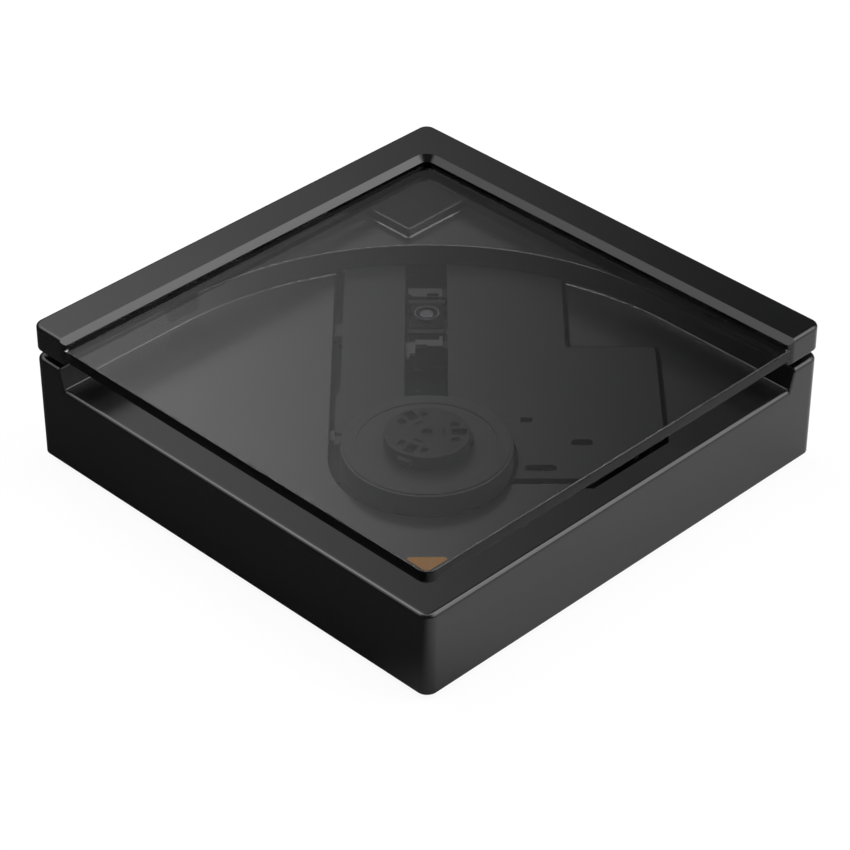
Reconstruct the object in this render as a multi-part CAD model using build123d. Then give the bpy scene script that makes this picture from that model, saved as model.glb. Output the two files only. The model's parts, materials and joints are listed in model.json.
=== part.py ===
"""Compact square disc player, 100 mm square, that a 120 mm disc overhangs on its two open sides.

Millimetres, +Z up. The origin is on the surface that the feet stand on, under the middle of the housing.
The front is -Y; the lid's L-shaped frame runs along the rear (+Y) and the right (+X) side.
The mechanism lies along the housing's diagonal, so its plan is drawn in (u, v): u runs to the
front right corner and v from the front left corner (-X, -Y) to the rear right corner (+X, +Y).
"""
from build123d import *
from math import atan, degrees, sqrt
import os

os.makedirs("parts", exist_ok=True)

# housing
half = 50.0                 # half the width of the lid and of the base's top
half_bottom = 49.9          # the base narrows a little towards its bottom
corner_r = 2.1
foot_height = 1.0
foot_r = 4.5
foot_at = 37.0
foot_recess = 0.5
base_z = foot_height
platform_z = 17.8
tier_z = 22.05
skin = 1.6                  # thickness of the platform and of the tier's top
platform_under = platform_z - skin
tier_under = tier_z - skin
rim_fillet = 0.9
rim_bevel = 0.2             # round the platform's opening
tier_fillet = 0.9
inner_half = half - 2.0
cover_thick = 1.5
cover_top = base_z + cover_thick
cover_half = inner_half - 0.12
boss_at = 44.4              # the corner bosses stand at X, Y = +-boss_at
boss_r = 3.7
pilot_r = 0.8
shank_r = 0.78

# disc well
spindle_xy = -19.8          # the spindle stands at X = Y = spindle_xy
well_r = 61.6               # radius of the well's wall at the platform
well_flare = 1.1            # how far the wall leans out on its way up
well_edge = spindle_xy + well_r
wall_angle = degrees(atan(well_flare / (tier_z - platform_z)))
well_fillet = 0.35
notch_z = 19.0              # floor of the finger notch in the rear wall
notch_floor = (-24.3, -17.2)
notch_mouth = (-25.3, -16.4)
notch_back = 46.0

# lid
lid_gap = 1.45
lid_z = tier_z + lid_gap
lid_height = 5.3
lid_top = lid_z + lid_height
bar_inner = 41.3            # inner wall of the lid's two bars
bar_chamfer = 1.15
bar_corner_r = 1.7
bar_end_r = 1.1
lid_top_fillet = 0.7
lid_bottom_fillet = 0.5
window_drop = 1.85          # from the lid's top down to the window's top
window_thick = 2.3
window_top = lid_top - window_drop
window_z = window_top - window_thick
window_half = 49.9
window_back = 44.4          # how far the window reaches into the bars' groove
window_edge = 0.35          # rounding of the window's top edge
window_foot = 0.16
tongue_start = -48.9        # where the window's tongue begins to run into the bars' groove
window_corner_r = 2.0
mark_at = -49.3             # the two short sides of the lift mark lie at X and at Y = mark_at
mark_side = 5.6
mark_depth = 0.12
magnet_r = 2.0
magnet_lid_h = 2.4
magnet_base_h = 2.6
magnet_line = 46.9
magnet_spots = (-34.0, 20.0)
gasket_out = 48.0
gasket_in = 44.9
fit_gap = 0.03              # between pieces that are glued or pressed together

# disc drive
spindle_v = spindle_xy * sqrt(2)
deck_z = 17.3
deck_top = deck_z + 1.0
deck_hole_r = 15.9
deck_reach = 65.5
slot_left, slot_right = -4.05, 3.8
slot_inner_r = 18.5
slot_back = 36.2
chassis_z = 10.2
chassis_top = chassis_z + 1.0
chassis_reach = 42.2        # largest X of the chassis
ears = [(-21.0, -22.0), (-20.5, 26.0), (29.5, 16.0), (20.0, -39.5)]
ear_r = 3.4
post_r = 2.4
post_bottom = 12.9
bush_r = 3.1
bush_neck = 2.0
pillars = [(-13.6, 36.0), (-13.6, -8.0), (21.5, -26.0), (36.5, -16.0), (36.5, 1.5), (21.3, 30.0)]
pillar_r = 1.2
turntable_r = 15.0
turntable_top = 21.2
skirt_z = 17.0
skirt_inner = 13.8
turntable_under = 20.4
pad_inner, pad_outer = 12.4, 14.5
hub_r = 7.5
hub_top = 23.95
shaft_r = 1.0
shaft_clear = 0.05
claw_count = 3
claw_w = 2.4
claw_z, claw_top = 21.75, 23.1
claw_inner, claw_tip = 4.5, 8.1
stator_r = 13.0
stator_z, stator_top = 17.2, 19.6
teeth = 9
rod_r = 1.0
rod_u = 9.5
rod_z = 13.6
front_wall_v = (-17.5, -15.5)
back_wall_v = (40.6, 42.4)
screw_u, screw_z = 16.0, 14.2
screw_r = 1.2
journal_r = 0.8
motor_v = (-14.0, -4.0)
motor_r = 3.0
lens_v = 18.95
sled_v = (9.45, 28.95)
sled_half = 12.0
sled_z, sled_top = 11.5, 15.9
yoke_top = 14.2
nut_v = (20.6, 27.6)
lens_top = 17.4
lens_ring_r = 2.3
lens_r = 1.5

# electronics
board_z = 6.8
board_top = board_z + 1.2
board_half = 46.6
board_spots = [(-42.0, -10.0), (3.0, -44.0), (41.0, -36.0), (34.0, 43.5), (-17.0, 43.5), (-17.5, 6.0)]
battery_x = (-46.0, -22.5)
battery_y = (8.0, 39.5)
battery_z = (3.3, 14.3)
button_names = ["volume_down_button", "previous_button", "play_button", "next_button", "volume_up_button"]
button_pitch = 11.0
button_w, button_h = 8.6, 3.2
button_z = 11.6
button_travel = 0.35
button_gap = 0.12
switch_x = 44.2             # the switches stand on the button board's outer face
usb_x, usb_w, usb_h = 24.0, 8.94, 3.2
usb_z = board_top + usb_h / 2
jacks = {"headphone_jack": 6.0, "line_jack": -9.0}
jack_z = 11.0
jack_bore_r = 1.78
jack_nose_r = 2.9
jack_y = (37.0, 47.0)
jack_face = 49.3
port_gap = 0.2
keyhole_x, keyhole_y = 15.5, 26.0
keyhole_r = 3.6
keyhole_slot = 4.2
keyhole_rise = 7.0
keyhole_room = 3.0          # depth kept free above the cover for the wall screw's head
display_x = (24.0, 39.95)
display_y = (28.8, 40.2)
display_flange = 0.9        # how far the bezel's foot reaches out over the tier
display_foot = 0.6          # concave rounding between that foot and the block
display_top = tier_z + 1.9


def diag(u, v):
    """Plan point for a distance u to the right and v away, along the housing's diagonals."""
    return ((u + v) / sqrt(2), (v - u) / sqrt(2))


def diag_plate(points, z0, z1):
    """Prism over a plan polygon given in (u, v)."""
    plan = Plane.XY.offset(z0) * Polygon(*[diag(u, v) for u, v in points], align=None)
    return extrude(plan, z1 - z0, dir=(0, 0, 1))


def diag_box(u0, u1, v0, v1, z0, z1):
    return diag_plate([(u0, v0), (u1, v0), (u1, v1), (u0, v1)], z0, z1)


def disc_at(x, y, z0, z1, r):
    return Pos(x, y, (z0 + z1) / 2) * Cylinder(r, z1 - z0)


def diag_disc(u, v, z0, z1, r):
    return disc_at(*diag(u, v), z0, z1, r)


def diag_rod(u, v0, v1, z, r):
    """Round bar along the diagonal."""
    x, y = diag(u, v0)
    plane = Plane(origin=(x, y, z), z_dir=(1 / sqrt(2), 1 / sqrt(2), 0))
    return extrude(plane * Circle(r), v1 - v0)


def ring_at(x, y, z0, z1, r_in, r_out):
    return disc_at(x, y, z0, z1, r_out) - disc_at(x, y, z0 - 1, z1 + 1, r_in)


def corners(distance):
    return [(x, y) for x in (-distance, distance) for y in (-distance, distance)]


def box(x0, x1, y0, y1, z0, z1):
    return Pos((x0 + x1) / 2, (y0 + y1) / 2, (z0 + z1) / 2) * Box(x1 - x0, y1 - y0, z1 - z0)


def tapered_block(z1, top_fillet):
    """The base's outer form up to height z1, with its top edge rounded."""
    lean = degrees(atan((half - half_bottom) / (tier_z - base_z)))
    sketch = Plane.XY.offset(base_z) * RectangleRounded(2 * half_bottom, 2 * half_bottom, corner_r)
    block = extrude(sketch, z1 - base_z, taper=-lean)
    return fillet(block.faces().sort_by(Axis.Z)[-1].edges(), top_fillet)


def square_region(limit, reach, inner_r):
    """Plan region X, Y < limit whose corner at (limit, limit) is rounded."""
    size = limit + reach
    region = Pos((limit - reach) / 2, (limit - reach) / 2) * Rectangle(size, size)
    corner = region.vertices().sort_by(lambda p: p.X + p.Y)[-1]
    return fillet(corner, inner_r)


def well_tool():
    """The disc well: straight sides along the two open edges, joined round the spindle."""
    region = square_region(well_edge, 70, well_r)
    return extrude(Plane.XY.offset(platform_z) * region, tier_z - platform_z + 2, taper=-wall_angle)


def opening_plan():
    """Plan of the platform's opening: a long bay for the deck with a round end at the turntable."""
    bay = [(-17.1, -27.1), (8.9, -41.6), (9.9, -38.2), (11.6, -36.6), (14.6, -34.6), (28.7, -34.6), (42.3, -21.1),
           (42.3, 7.1), (26.0, 7.1), (26.0, 45.0), (-17.1, 45.0)]
    plan = Polygon(*[diag(u, v) for u, v in bay], align=None)
    plan = plan + Pos(*diag(0, spindle_v)) * Circle(turntable_r + 0.6)
    round_end = Pos(*diag(0, -27.1)) * Circle(17.05)
    beside = Polygon(*[diag(u, v) for u, v in [(8.9, -50), (20, -50), (20, -27.1), (8.9, -27.1)]], align=None)
    return plan + (round_end - beside)


def opening_tool():
    """Cuts the platform with a small bevel at its top, and lets the deck pass under the well's wall."""
    through = extrude(Plane.XY.offset(12) * opening_plan(), deck_top + 0.2 - 12)
    bevel = extrude(Plane.XY.offset(platform_z - rim_bevel) * opening_plan(), 2 * rim_bevel, taper=-45)
    inside_well = disc_at(spindle_xy, spindle_xy, 11, 30, well_r - well_fillet)
    under_wall = disc_at(spindle_xy, spindle_xy, 11, 30, well_r + 5)
    return (through & under_wall) + (bevel & inside_well)


def magnet_places():
    return [(m, magnet_line) for m in magnet_spots] + [(magnet_line, m) for m in magnet_spots]


def bars_region(outer, inner, outer_r, inner_r):
    """Plan of an L that runs along the rear and right sides."""
    return RectangleRounded(2 * outer, 2 * outer, outer_r) - square_region(inner, 70, inner_r)


def pad(x0, x1, y0, y1, z0, z1, r):
    """Plate with rounded corners."""
    plan = Pos((x0 + x1) / 2, (y0 + y1) / 2, z0) * RectangleRounded(x1 - x0, y1 - y0, r)
    return extrude(plan, z1 - z0)


def at_spindle(shape, angle):
    """Moves a shape drawn with its radius along +X out to the spindle, turned from the +u direction."""
    return Pos(spindle_xy, spindle_xy, 0) * Rot(0, 0, angle - 45) * shape


def group(shapes):
    """Separate solids that share one node."""
    return Compound(children=[solid for shape in shapes for solid in shape.solids()])


# base
def housing_form():
    """Outer form of the base: platform, tiers and the disc well between them."""
    tier = tapered_block(tier_z, tier_fillet) - Pos(0, 0, -1) * well_tool() - well_tool()
    top_edge = well_edge + well_flare
    rim = [e for e in tier.edges() if abs(e.center().Z - tier_z) < 0.01
           and max(e.center().X, e.center().Y) < half - 2
           and (abs(e.center().X - top_edge) < 0.3 or abs(e.center().Y - top_edge) < 0.3
                or e.geom_type == GeomType.CIRCLE)]
    form = fillet(rim, well_fillet) + tapered_block(platform_z, rim_fillet)
    foot = [e for e in form.edges() if abs(e.center().Z - platform_z) < 0.01
            and (abs(e.center().X - well_edge) < 0.02 or abs(e.center().Y - well_edge) < 0.02
                 or e.geom_type == GeomType.CIRCLE and e.length > 20)]
    return fillet(foot, well_fillet)


def finger_notch():
    """Pocket in the rear wall beside the disc's edge."""
    outline = FilletPolyline((notch_mouth[0], tier_z + 1), (notch_floor[0], notch_z), (notch_floor[1], notch_z),
                             (notch_mouth[1], tier_z + 1), radius=0.9, close=True)
    return extrude(Plane.XZ.offset(-notch_back) * make_face(outline), 6)


def housing_hollow():
    """Room inside the base, which reaches up into the tiers behind the well's wall."""
    room = pad(-inner_half, inner_half, -inner_half, inner_half, base_z - 1, platform_under, 1.0)
    upper = pad(-inner_half, inner_half, -inner_half, inner_half, platform_under - 0.1, tier_under, 1.0)
    wall_back = well_edge + well_flare + skin
    well = Plane.XY.offset(platform_under - 1) * square_region(wall_back, 70, wall_back - spindle_xy)
    well = extrude(well, 8)
    notch_walls = box(notch_mouth[0] - 2, notch_mouth[1] + 2, well_edge, half, platform_under - 1, tier_z)
    return room + (upper - well - notch_walls)


def button_form(y, grow, x0, x1):
    """Stadium-shaped bar along X at a button's place."""
    width, height = button_w + 2 * grow, button_h + 2 * grow
    plan = Plane.YZ.offset(x0) * Pos(y, button_z) * RectangleRounded(width, height, height / 2 - 0.01)
    return extrude(plan, x1 - x0)


def button_places():
    middle = (len(button_names) - 1) / 2
    return [(name, (i - middle) * button_pitch) for i, name in enumerate(button_names)]


def rear_bar(x, z, width, height, r, y0, y1):
    """Rounded bar along Y, for the ports in the rear wall."""
    plan = Plane.XZ.offset(-y1) * Pos(x, z) * RectangleRounded(width, height, r)
    return extrude(plan, y1 - y0)


def base_shell():
    shell = housing_form() - housing_hollow() - finger_notch()
    for x, y in corners(boss_at):
        top = tier_under if x + y > 1 else platform_under
        shell = shell + disc_at(x, y, cover_top, top + 0.2, boss_r)
        shell = shell - disc_at(x, y, base_z, 13.5, pilot_r)
    for u, v in ears:
        shell = shell + diag_disc(u, v, post_bottom, platform_under + 0.2, post_r)
        shell = shell - diag_disc(u, v, post_bottom - 1, platform_under - 0.4, pilot_r)
    for x, y in magnet_places():
        shell = shell + disc_at(x, y, tier_z - magnet_base_h - 1, tier_under + 0.2, magnet_r + 0.9)
        shell = shell - disc_at(x, y, tier_z - magnet_base_h, tier_z + 1, magnet_r)
    shell = shell - opening_tool()
    shell = shell - pad(*display_x, *display_y, tier_under - 1, tier_z + 1, 0.4)
    shell = shell - box(43.5, 44.7, -45.4, -38.1, tier_z - 0.5, tier_z + 1)
    for _, y in button_places():
        shell = shell - button_form(y, button_gap, half - 4, half + 2)
    usb_mouth = (usb_w + 2 * port_gap, usb_h + 2 * port_gap)
    shell = shell - rear_bar(usb_x, usb_z, *usb_mouth, usb_mouth[1] / 2 - 0.01, half - 4, half + 1)
    for x in jacks.values():
        port = Plane.XZ.offset(-half - 1) * Pos(x, jack_z) * Circle(jack_nose_r + port_gap)
        shell = shell - extrude(port, 5)
    return shell


def keyhole(x, entry_r, slot_r, z0, z1):
    """Round entry with a slot that rises from it towards +Y."""
    slot = pad(x - slot_r, x + slot_r, keyhole_y - 1, keyhole_y + keyhole_rise + slot_r, z0, z1, slot_r - 0.01)
    return disc_at(x, keyhole_y, z0, z1, entry_r) + slot


def bottom_cover():
    cover = pad(-cover_half, cover_half, -cover_half, cover_half, base_z, cover_top, 0.9)
    for x, y in corners(foot_at):
        cover = cover - disc_at(x, y, base_z - 1, base_z + foot_recess, foot_r + 0.1)
    for x, y in corners(boss_at):
        cover = cover - disc_at(x, y, base_z - 1, cover_top + 1, 1.0)
        cover = cover - Pos(x, y, base_z + 0.45) * Cone(2.0, 1.0, 0.9)
    roof = cover_top + keyhole_room
    for x in (-keyhole_x, keyhole_x):
        cover = cover + keyhole(x, keyhole_r + 1.4, keyhole_r + 1.4, cover_top - 0.1, roof + 0.8)
        cover = cover - keyhole(x, keyhole_r + 0.6, keyhole_r + 0.6, cover_top, roof)
        cover = cover - keyhole(x, keyhole_r, keyhole_slot / 2, base_z - 1, cover_top + 0.1)
    for x, y in board_spots:
        cover = cover + disc_at(x, y, cover_top - 0.1, board_z, 2.2)
        cover = cover - disc_at(x, y, cover_top + 0.5, board_z + 1, 0.7)
    return cover


def cover_screws():
    screws = []
    for x, y in corners(boss_at):
        head = Pos(x, y, base_z + 0.45) * Cone(1.9, shank_r, 0.9)
        driver = extrude(Plane.XY.offset(base_z - 0.1) * Pos(x, y) * RegularPolygon(0.8, 6), 0.5)
        screws.append(head + disc_at(x, y, base_z + 0.8, 12.5, shank_r) - driver)
    return group(screws)


def feet():
    shapes = []
    for x, y in corners(foot_at):
        foot = disc_at(x, y, 0, base_z + foot_recess, foot_r)
        shapes.append(fillet(foot.faces().sort_by(Axis.Z)[0].edges(), 0.35))
    return group(shapes)


def seam_gasket():
    return extrude(Plane.XY.offset(tier_z) * bars_region(gasket_out, gasket_in, 1.0, 0.8), lid_gap)


def magnets(z0, z1):
    return group([disc_at(x, y, z0, z1, magnet_r - fit_gap) for x, y in magnet_places()])


# lid
def bar_end_cutter(along_x):
    """Rounds a bar's upright inner edge where the bar ends at an open side."""
    end, side = -half + bar_end_r, bar_inner + bar_end_r
    x, y = (end, side) if along_x else (side, end)
    corner = box(x - bar_end_r - 2 * along_x, x, y - bar_end_r - 2 * (not along_x), y, lid_z - 1, lid_top + 1)
    return corner - disc_at(x, y, lid_z - 2, lid_top + 2, bar_end_r)


def window_plan(reach, start, back_r):
    """Plan of the window. Its tongue begins at 45 degrees, to slide in along the diagonal."""
    side = bar_inner - fit_gap
    full = start + reach - side
    points = [(-window_half, -window_half), (side, -window_half), (side, start), (reach, full), (reach, reach),
              (full, reach), (start, side), (-window_half, side)]
    plan = Polygon(*points, align=None)
    return fillet(plan.vertices().sort_by(lambda p: p.X + p.Y)[-1], back_r)


def lid_frame():
    frame = pad(-half, half, -half, half, lid_z, lid_top, corner_r)
    frame = fillet(frame.faces().sort_by(Axis.Z)[-1].edges(), lid_top_fillet)
    frame = fillet(frame.faces().sort_by(Axis.Z)[0].edges(), lid_bottom_fillet)
    inside = square_region(bar_inner, 70, bar_corner_r)
    frame = frame - extrude(Plane.XY.offset(lid_z - 1) * inside, lid_height + 2)
    frame = frame - extrude(Plane.XY.offset(lid_top - bar_chamfer) * inside, bar_chamfer + 0.5, taper=-45)
    groove = window_plan(window_back + fit_gap, tongue_start - 2 * fit_gap, 1.0)
    frame = frame - extrude(Plane.XY.offset(window_z - fit_gap) * groove, window_thick + 2 * fit_gap)
    frame = frame - bar_end_cutter(True) - bar_end_cutter(False)
    for x, y in magnet_places():
        frame = frame - disc_at(x, y, lid_z - 1, lid_z + magnet_lid_h, magnet_r)
    return frame


def mark_plan():
    """Rounded right-angled triangle in the window's front left corner."""
    points = [(mark_at, mark_at), (mark_at + mark_side, mark_at), (mark_at, mark_at + mark_side)]
    plan = Polygon(*points, align=None)
    tip = plan.vertices().sort_by(lambda p: p.X + p.Y)[0]
    plan = fillet(tip, 1.0)
    sharp = [p for p in plan.vertices() if max(p.X, p.Y) > mark_at + mark_side - 0.1]
    return fillet(sharp, 0.5)


def lid_window():
    plan = window_plan(window_back, tongue_start, 1.5)
    plan = fillet(plan.vertices().sort_by(lambda p: p.X + p.Y)[0], window_corner_r)
    window = extrude(Plane.XY.offset(window_z) * plan, window_thick)
    window = fillet(window.faces().sort_by(Axis.Z)[-1].edges(), window_edge)
    window = fillet(window.faces().sort_by(Axis.Z)[0].edges(), window_foot)
    return window - extrude(Plane.XY.offset(window_top - mark_depth) * mark_plan(), 1)


def lift_mark():
    return extrude(Plane.XY.offset(window_top - mark_depth) * mark_plan(), mark_depth)


# display
def display_bezel():
    x0, x1, y0, y1 = [*display_x, *display_y]
    reach = display_flange
    flange = pad(x0 - reach, x1 + reach, y0 - reach, y1 + reach, tier_z, tier_z + 0.12, 1.2)
    block = pad(x0 + fit_gap, x1 - fit_gap, y0 + fit_gap, y1 - fit_gap, tier_under, display_top, 0.37) + flange
    inner = [e for e in block.edges() if abs(e.center().Z - tier_z - 0.12) < 0.01
             and x0 - 0.1 < e.center().X < x1 + 0.1 and y0 - 0.1 < e.center().Y < y1 + 0.1]
    block = fillet(inner, display_foot)
    block = fillet(block.faces().sort_by(Axis.Z)[-1].edges(), 0.15)
    seat, room, ledge = 0.5, 0.9, 1.5
    block = block - pad(x0 + seat, x1 - seat, y0 + seat, y1 - seat, display_top - 0.8, display_top + 1, 0.3)
    block = block - pad(x0 + ledge, x1 - ledge, y0 + ledge, y1 - ledge, tier_under - 1, display_top, 0.3)
    return block - pad(x0 + room, x1 - room, y0 + room, y1 - room, tier_under - 1, display_top - 1.3, 0.3)


def display_window():
    x0, x1, y0, y1 = [*display_x, *display_y]
    inset = 0.5 + fit_gap
    window = pad(x0 + inset, x1 - inset, y0 + inset, y1 - inset, display_top - 0.8, display_top - 0.05, 0.3)
    return fillet(window.faces().sort_by(Axis.Z)[-1].edges(), 0.12)


def display_module():
    x0, x1, y0, y1 = [*display_x, *display_y]
    inset = 0.9 + fit_gap
    return pad(x0 + inset, x1 - inset, y0 + inset, y1 - inset, tier_under, display_top - 1.3, 0.3)


# electronics
def main_board():
    board = pad(-board_half, board_half, -board_half, board_half, board_z, board_top, 0.8)
    board = board - box(-half, battery_x[1] + 1.2, battery_y[0] - 4, half, board_z - 1, board_top + 1)
    for x, y in corners(boss_at):
        board = board - disc_at(x, y, board_z - 1, board_top + 1, boss_r + 0.5)
    for x, y in board_spots:
        board = board - disc_at(x, y, board_z - 1, board_top + 1, 0.9)
    return board


def board_screws():
    return group([disc_at(x, y, board_top, board_top + 0.9, 1.5) + disc_at(x, y, cover_top + 1, board_top + 0.1, 0.66)
                  for x, y in board_spots])


def board_chips():
    """Packages on the main board: centre, width, depth and height of each."""
    packages = [(-32, -27, 10, 10, 1.2), (-17, -31, 6, 5, 1.0), (8, -31, 7, 7, 1.1), (20, -22, 5, 5, 1.0),
                (25, 22, 6, 6, 1.0), (6, 24, 5, 5, 0.9), (-17, 18, 4.4, 6, 3.2), (14.5, 44, 4, 4, 1.8),
                (31, -40, 4, 4, 2.0), (25, -40, 4, 4, 2.0), (-38, -38, 6, 3, 1.2), (-26, -43, 3, 5, 1.2)]
    shapes = [box(x - w / 2, x + w / 2, y - d / 2, y + d / 2, board_top, board_top + h)
              for x, y, w, d, h in packages]
    return group(shapes + [disc_at(-41.5, y, board_top, board_top + 5.4, 2.4) for y in (-27, -20)])


def battery_pack():
    pack = pad(*battery_x, *battery_y, *battery_z, 2.0)
    return fillet(pack.faces().sort_by(Axis.Z)[-1].edges(), 0.8)


def battery_pad():
    return pad(battery_x[0] + 2, battery_x[1] - 2, battery_y[0] + 2, battery_y[1] - 2, cover_top, battery_z[0], 1.0)


def usb_c_port():
    back, face = 41.4, 48.9
    port = rear_bar(usb_x, usb_z, usb_w, usb_h, usb_h / 2 - 0.01, back, face)
    port = port - rear_bar(usb_x, usb_z, usb_w - 0.6, usb_h - 0.6, usb_h / 2 - 0.31, back + 1, face + 1)
    return port + box(usb_x - 3.3, usb_x + 3.3, back + 0.5, face - 0.9, usb_z - 0.35, usb_z + 0.35)


def jack(x):
    body = box(x - 3.2, x + 3.2, *jack_y, board_top, jack_z + 2.9)
    nose = Plane.XZ.offset(-jack_face) * Pos(x, jack_z) * Circle(jack_nose_r)
    nose = extrude(nose, jack_face - jack_y[1] + 1)
    bore = Plane.XZ.offset(-jack_face - 1) * Pos(x, jack_z) * Circle(jack_bore_r)
    bore = extrude(bore, jack_face - jack_y[0])
    return body + nose - bore


def button_board():
    return box(switch_x - 1, switch_x, -27.5, 27.5, board_top, button_z + 4)


def tact_switches():
    shapes = []
    for _, y in button_places():
        body = box(switch_x, switch_x + 1.4, y - 1.75, y + 1.75, button_z - 1.75, button_z + 1.75)
        stem = extrude(Plane.YZ.offset(switch_x + 1.3) * Pos(y, button_z) * Circle(0.8), 0.7)
        shapes.append(body + stem)
    return group(shapes)


def side_button(y):
    """Key with an inner flange that stops it against the wall, and a stub that meets its switch."""
    key = button_form(y, 0, inner_half - 0.15, half)
    key = fillet(key.faces().sort_by(Axis.X)[-1].edges(), 0.25)
    flange = button_form(y, 0.8, inner_half - 0.95, inner_half - 0.15)
    stub_x = switch_x + 2.0 + button_travel + 0.05
    stub = extrude(Plane.YZ.offset(stub_x) * Pos(y, button_z) * Circle(0.8), inner_half - 0.5 - stub_x)
    return key + flange + stub


# disc drive
def near(edge, u, v):
    x, y = diag(u, v)
    return abs(edge.center().X - x) < 0.1 and abs(edge.center().Y - y) < 0.1


def deck_plate():
    left, outer_left, back = -15.45, -16.2, 60.0
    front, right, shoulder = -33.85, 41.5, 6.35
    outline = [(left, back), (left, -8.3), (outer_left, -8.3), (outer_left, -24.0), (0, -24.0), (0, front),
               (27.6, front), (right, -19.95), (right, shoulder), (25.2, shoulder), (25.2, back)]
    deck = diag_plate(outline, deck_z, deck_top)
    deck = fillet([e for e in deck.edges().filter_by(Axis.Z) if near(e, right, shoulder)], 1.0)
    deck = deck + diag_box(-16.8, left + 0.1, 9.8, 13.7, deck_z, deck_top)
    deck = deck - diag_disc(0, spindle_v, deck_z - 1, deck_top + 1, deck_hole_r)
    slot = diag_box(slot_left, slot_right, -20, slot_back, deck_z - 1, deck_top + 1)
    deck = deck - (slot - diag_disc(0, spindle_v, deck_z - 2, deck_top + 2, slot_inner_r))
    deck = deck - diag_box(16.5, 18.6, -17.3, -15.8, deck_z - 1, deck_top + 1)
    for u0, u1, v0, v1 in [(25.1, 29.0, -24.15, -22.35), (16.8, 22.5, -31.7, -29.9)]:
        r = (v1 - v0) / 2
        deck = deck - diag_box(u0 + r, u1 - r, v0, v1, deck_z - 1, deck_top + 1)
        deck = deck - diag_disc(u0 + r, v0 + r, deck_z - 1, deck_top + 1, r)
        deck = deck - diag_disc(u1 - r, v0 + r, deck_z - 1, deck_top + 1, r)
    notch = [(-16.5, -21.6), (-15.0, -21.2), (-15.0, -20.5), (-16.5, -20.1)]
    notch = diag_plate(notch, deck_z - 1, deck_top + 1)
    return (deck - notch) & disc_at(spindle_xy, spindle_xy, deck_z - 1, deck_top + 1, deck_reach)


def deck_pillars():
    return group([diag_disc(u, v, chassis_top, deck_z, pillar_r) for u, v in pillars])


def mech_chassis():
    """Tray that carries the motors and the guide rods, with an ear for each damper."""
    outline = [(-15.2, 42.6), (-15.2, spindle_v), (0, spindle_v), (0, -32.6), (27.0, -32.6), (40.3, -19.4),
               (40.3, 5.2), (24.0, 5.2), (24.0, 42.6)]
    tray = diag_plate(outline, chassis_z, chassis_top)
    tray = tray + diag_disc(0, spindle_v, chassis_z, chassis_top, 15.2)
    arms = [(-21.0, -14.0, -25.4, -18.6), (-20.5, -14.0, 22.6, 29.4), (23.0, 29.5, 12.6, 19.4),
            (16.6, 23.4, -39.5, -32.0)]
    for arm in arms:
        tray = tray + diag_box(*arm, chassis_z, chassis_top)
    for u, v in ears:
        tray = tray + diag_disc(u, v, chassis_z, chassis_top, ear_r)
    for u, v in ears:
        tray = tray - diag_disc(u, v, chassis_z - 1, chassis_top + 1, bush_neck)
    tray = tray - diag_box(-7.0, 7.0, -12.0, 34.0, chassis_z - 1, chassis_top + 1)
    tray = tray - diag_box(24.5, 36.0, -14.0, 0.0, chassis_z - 1, chassis_top + 1)
    tray = tray & box(-half, chassis_reach, -half, half, 0, 30)
    tray = tray + diag_box(-12.0, 12.0, *front_wall_v, chassis_top - 0.1, 15.6)
    tray = tray + diag_box(-12.0, 17.6, *back_wall_v, chassis_top - 0.1, 15.9)
    for u in (-rod_u, rod_u):
        tray = tray - diag_rod(u, front_wall_v[0] - 1, back_wall_v[1] + 1, rod_z, rod_r + 0.02)
    return tray - diag_rod(screw_u, back_wall_v[0] - 1, back_wall_v[1] + 1, screw_z, journal_r + shaft_clear)


def damper_bushes():
    shapes = []
    for u, v in ears:
        bush = diag_disc(u, v, chassis_top, post_bottom, bush_r)
        bush = bush + diag_disc(u, v, chassis_z - 0.8, chassis_z, bush_r)
        bush = bush + diag_disc(u, v, chassis_z - 0.1, chassis_top + 0.1, bush_neck - 0.02)
        shapes.append(bush - diag_disc(u, v, chassis_z - 2, post_bottom + 1, shank_r + 0.15))
    return group(shapes)


def damper_screws():
    head_z = chassis_z - 0.8
    return group([diag_disc(u, v, head_z - 0.9, head_z, 2.2) + diag_disc(u, v, head_z - 0.1, 15.4, shank_r)
                  for u, v in ears])


def guide_rods():
    return group([diag_rod(u, front_wall_v[0], back_wall_v[1], rod_z, rod_r) for u in (-rod_u, rod_u)])


def motor_base():
    base = diag_disc(0, spindle_v, chassis_top, chassis_top + 1, 9.5)
    base = base + diag_disc(0, spindle_v, chassis_top, stator_top, 3.0)
    return base - diag_disc(0, spindle_v, chassis_top + 1, stator_top + 1, shaft_r + shaft_clear)


def stator_core():
    core = ring_at(0, 0, stator_z, stator_top, 3.02, 5.2)
    rim = ring_at(0, 0, stator_z, stator_top, 12.0, stator_r)
    for i in range(teeth):
        core = core + Rot(0, 0, 360 / teeth * i) * box(5.0, 12.3, -0.8, 0.8, stator_z, stator_top)
        slot = box(11, 14, -0.45, 0.45, stator_z - 1, stator_top + 1)
        rim = rim - Rot(0, 0, 360 / teeth * (i + 0.5)) * slot
    return at_spindle(core + rim, 0)


def stator_coils():
    coil = box(6.2, 11.2, -1.7, 1.7, stator_z - 0.3, stator_top + 0.5)
    coil = coil - box(6, 12, -0.84, 0.84, stator_z - 0.04, stator_top + 0.04)
    return group([at_spindle(coil, 360 / teeth * i) for i in range(teeth)])


def turntable():
    cup = disc_at(0, 0, skirt_z, turntable_top, turntable_r)
    cup = fillet(cup.faces().sort_by(Axis.Z)[-1].edges(), 0.15)
    cup = cup - disc_at(0, 0, skirt_z - 1, turntable_under, skirt_inner)
    cup = cup - ring_at(0, 0, turntable_top - 0.25, turntable_top + 1, pad_inner, pad_outer)
    return at_spindle(cup - disc_at(0, 0, skirt_z, turntable_top + 1, shaft_r + 0.02), 0)


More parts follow.
